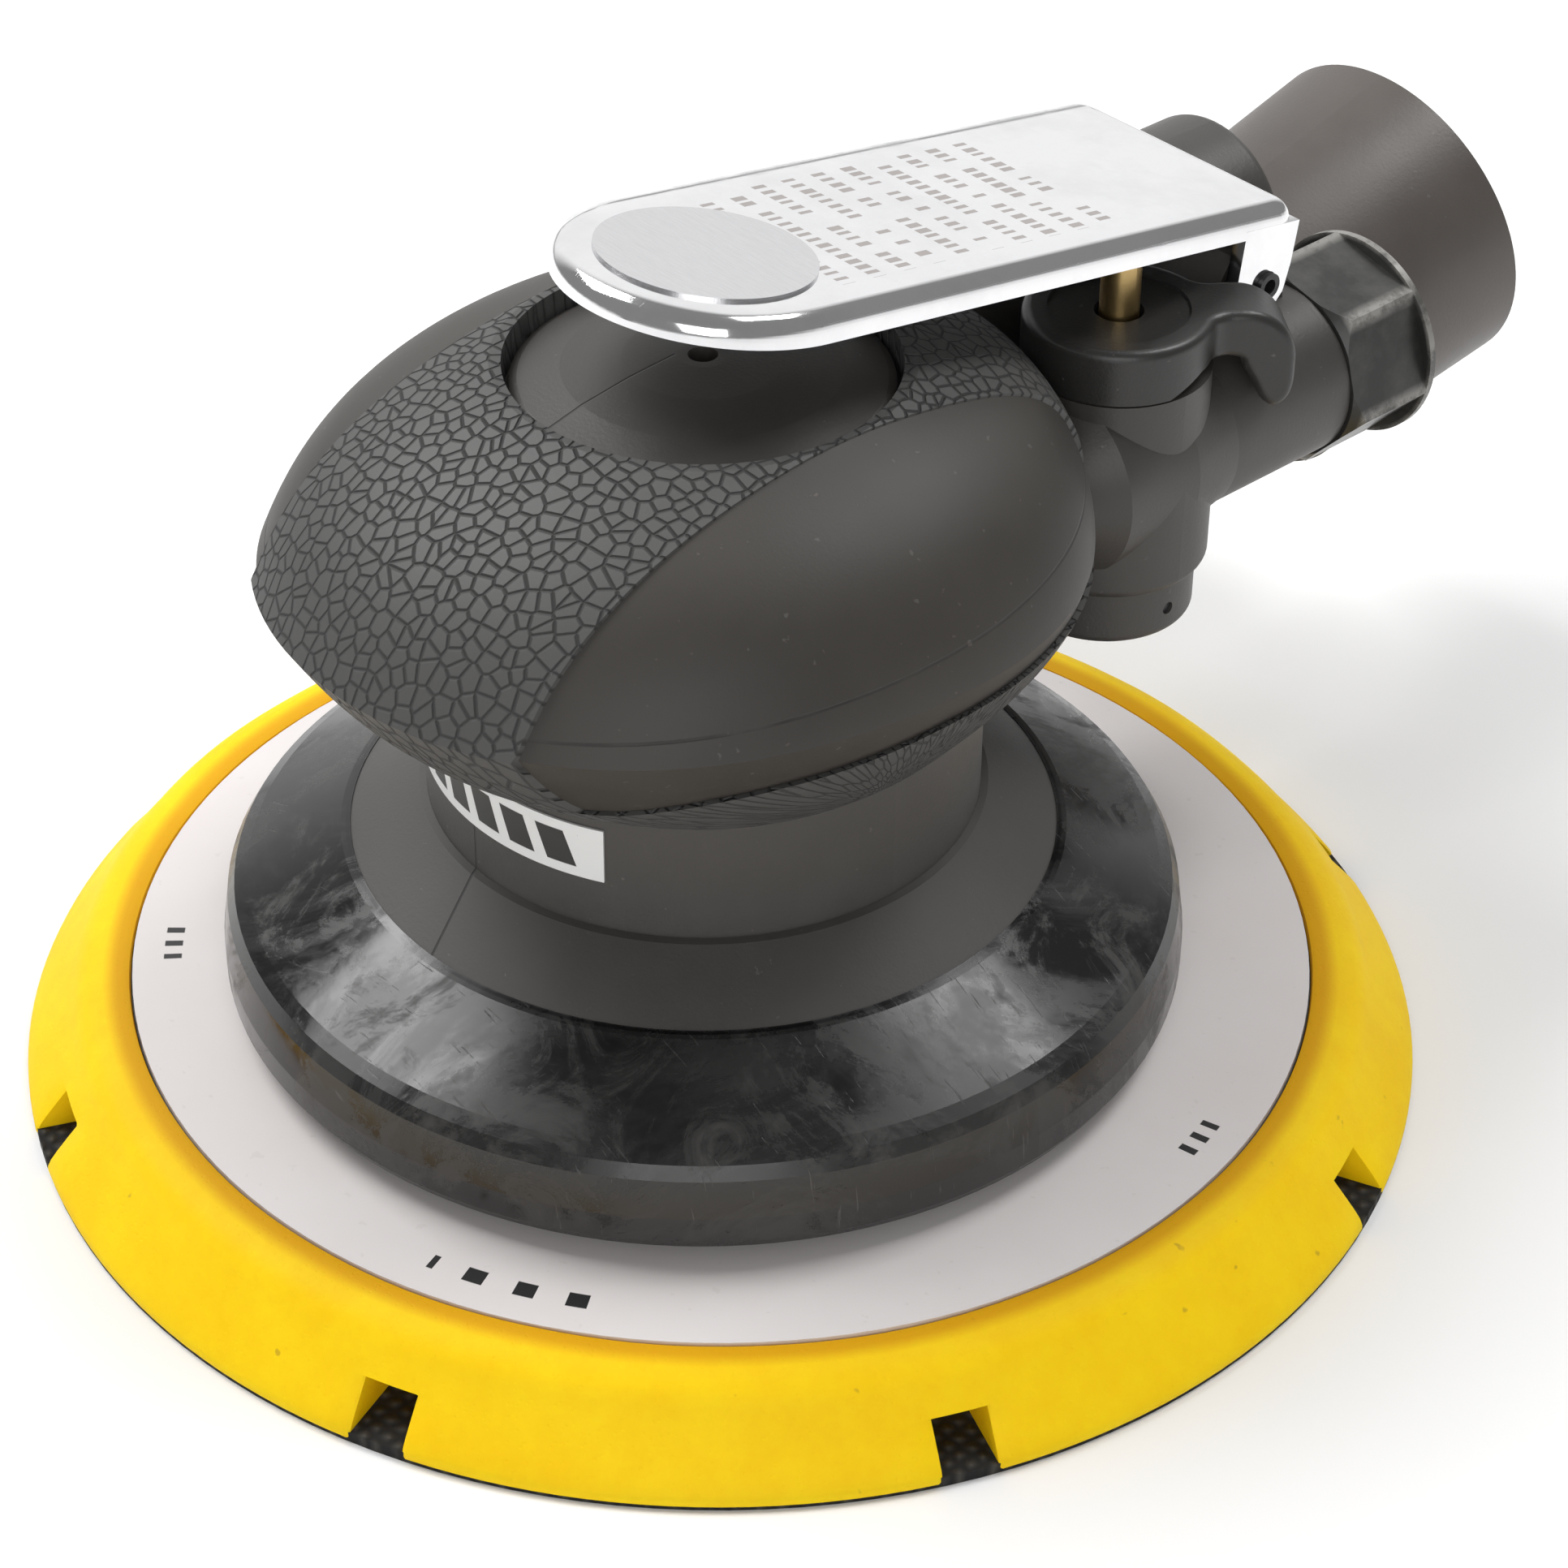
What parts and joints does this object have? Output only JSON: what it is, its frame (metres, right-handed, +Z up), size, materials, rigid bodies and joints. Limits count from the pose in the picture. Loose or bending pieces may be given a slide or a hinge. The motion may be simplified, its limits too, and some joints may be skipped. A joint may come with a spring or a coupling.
{
  "type": "orbital sander",
  "caption": "Air-driven palm sander: round foam pad with hook face, rubber-covered grip, chrome throttle lever, side air inlet and swivelling exhaust cuff.",
  "frame": {"origin": "on the motor axis, in the plane of the pad's working face", "axes": "+Z up along the motor axis, +Y to the rear (hose end), +X to the air inlet side"},
  "size_m": [0.15, 0.1992, 0.0968],
  "materials": {
    "hook": "matte",
    "foam": "matte",
    "plate": "matte",
    "cover": "satin",
    "grip": "matte",
    "panel": "satin",
    "housing": "matte",
    "flange": "matte",
    "shroud": "gloss",
    "label": "satin",
    "chrome": "gloss",
    "badge": "satin",
    "steel": "satin",
    "dark_steel": "gloss",
    "aluminium": "satin",
    "brass": "satin",
    "regulator": "satin",
    "cuff": "matte",
    "vane": "satin",
    "seal": "matte",
    "felt": "matte"
  },
  "bodies": {
    "housing": {"lower_bearing_outer": "steel", "upper_bearing_outer": "steel", "lower_endplate": "aluminium", "upper_endplate": "aluminium", "motor_cylinder": "steel", "lock_ring": "aluminium", "motor_seal": "seal", "housing_body": "housing", "grip_band": "grip", "side_panel_right": "panel", "side_panel_left": "panel", "flange_ring": "flange", "shroud": "shroud", "neck_label": "label", "hinge_pin": "dark_steel", "valve_seat": "brass", "stem_guide": "brass", "bottom_cap": "housing", "cap_pin": "dark_steel", "inlet_bushing": "dark_steel", "inlet_screen": "brass", "silencer_element": "felt", "cuff_seal": "seal", "valve_spring": "steel"},
    "lever_arm": {"lever": "chrome", "lever_badge": "badge"},
    "stem": {"valve_stem": "brass", "valve_poppet": "brass"},
    "regulator": {"speed_regulator": "regulator"},
    "cuff": {"hose_cuff": "cuff"},
    "shaft": {"shaft_balancer": "steel", "rotor_key": "steel", "snap_ring": "steel", "dust_seal": "seal", "spindle_bearing_outer": "steel", "rotor": "steel", "vane_1": "vane", "vane_2": "vane", "vane_3": "vane", "vane_4": "vane", "vane_5": "vane", "lower_bearing_inner": "steel", "lower_bearing_cage": "steel", "upper_bearing_inner": "steel", "upper_bearing_cage": "steel"},
    "pad": {"hook_face": "hook", "pad_foam": "foam", "pad_hub": "steel", "pad_plate": "plate", "pad_cover": "cover", "pad_stud": "steel", "hub_rivet_1": "steel", "hub_rivet_2": "steel", "hub_rivet_3": "steel", "hub_rivet_4": "steel", "spindle": "steel", "spindle_screw": "steel", "spindle_bearing_inner": "steel", "spindle_bearing_cage": "steel"}
  },
  "joints": [
    {"name": "lever_press", "type": "hinge", "parent": "housing", "child": "lever_arm", "pos_m": [0, 0.0637, 0.075], "axis": [1, 0, 0], "range_deg": [0, 6.3], "stiffness_Nm_per_rad": 0.25, "springref_deg": -2.86},
    {"name": "stem_press", "type": "slide", "parent": "housing", "child": "stem", "axis": [0, 0, -1], "range_m": [0, 0.00213], "deforming": ["valve_spring"]},
    {"name": "regulator_turn", "type": "hinge", "parent": "housing", "child": "regulator", "pos_m": [0.0132, 0.0448, 0.0746], "axis": [0, 0, 1], "range_deg": [-60, 0]},
    {"name": "cuff_swivel", "type": "hinge", "parent": "housing", "child": "cuff", "pos_m": [-0.0155, 0.0982, 0.0448], "axis": [0, 0.9781, 0.2079], "continuous": true},
    {"name": "shaft_spin", "type": "hinge", "parent": "housing", "child": "shaft", "pos_m": [0, 0, 0.04], "axis": [0, 0, 1], "continuous": true},
    {"name": "pad_spin", "type": "hinge", "parent": "shaft", "child": "pad", "pos_m": [0, 0.0025, 0.02], "axis": [0, 0, 1], "continuous": true}
  ],
  "couplings": [
    {"joint": "stem_press", "follows": "lever_press", "m_per_rad": 0.0189}
  ]
}
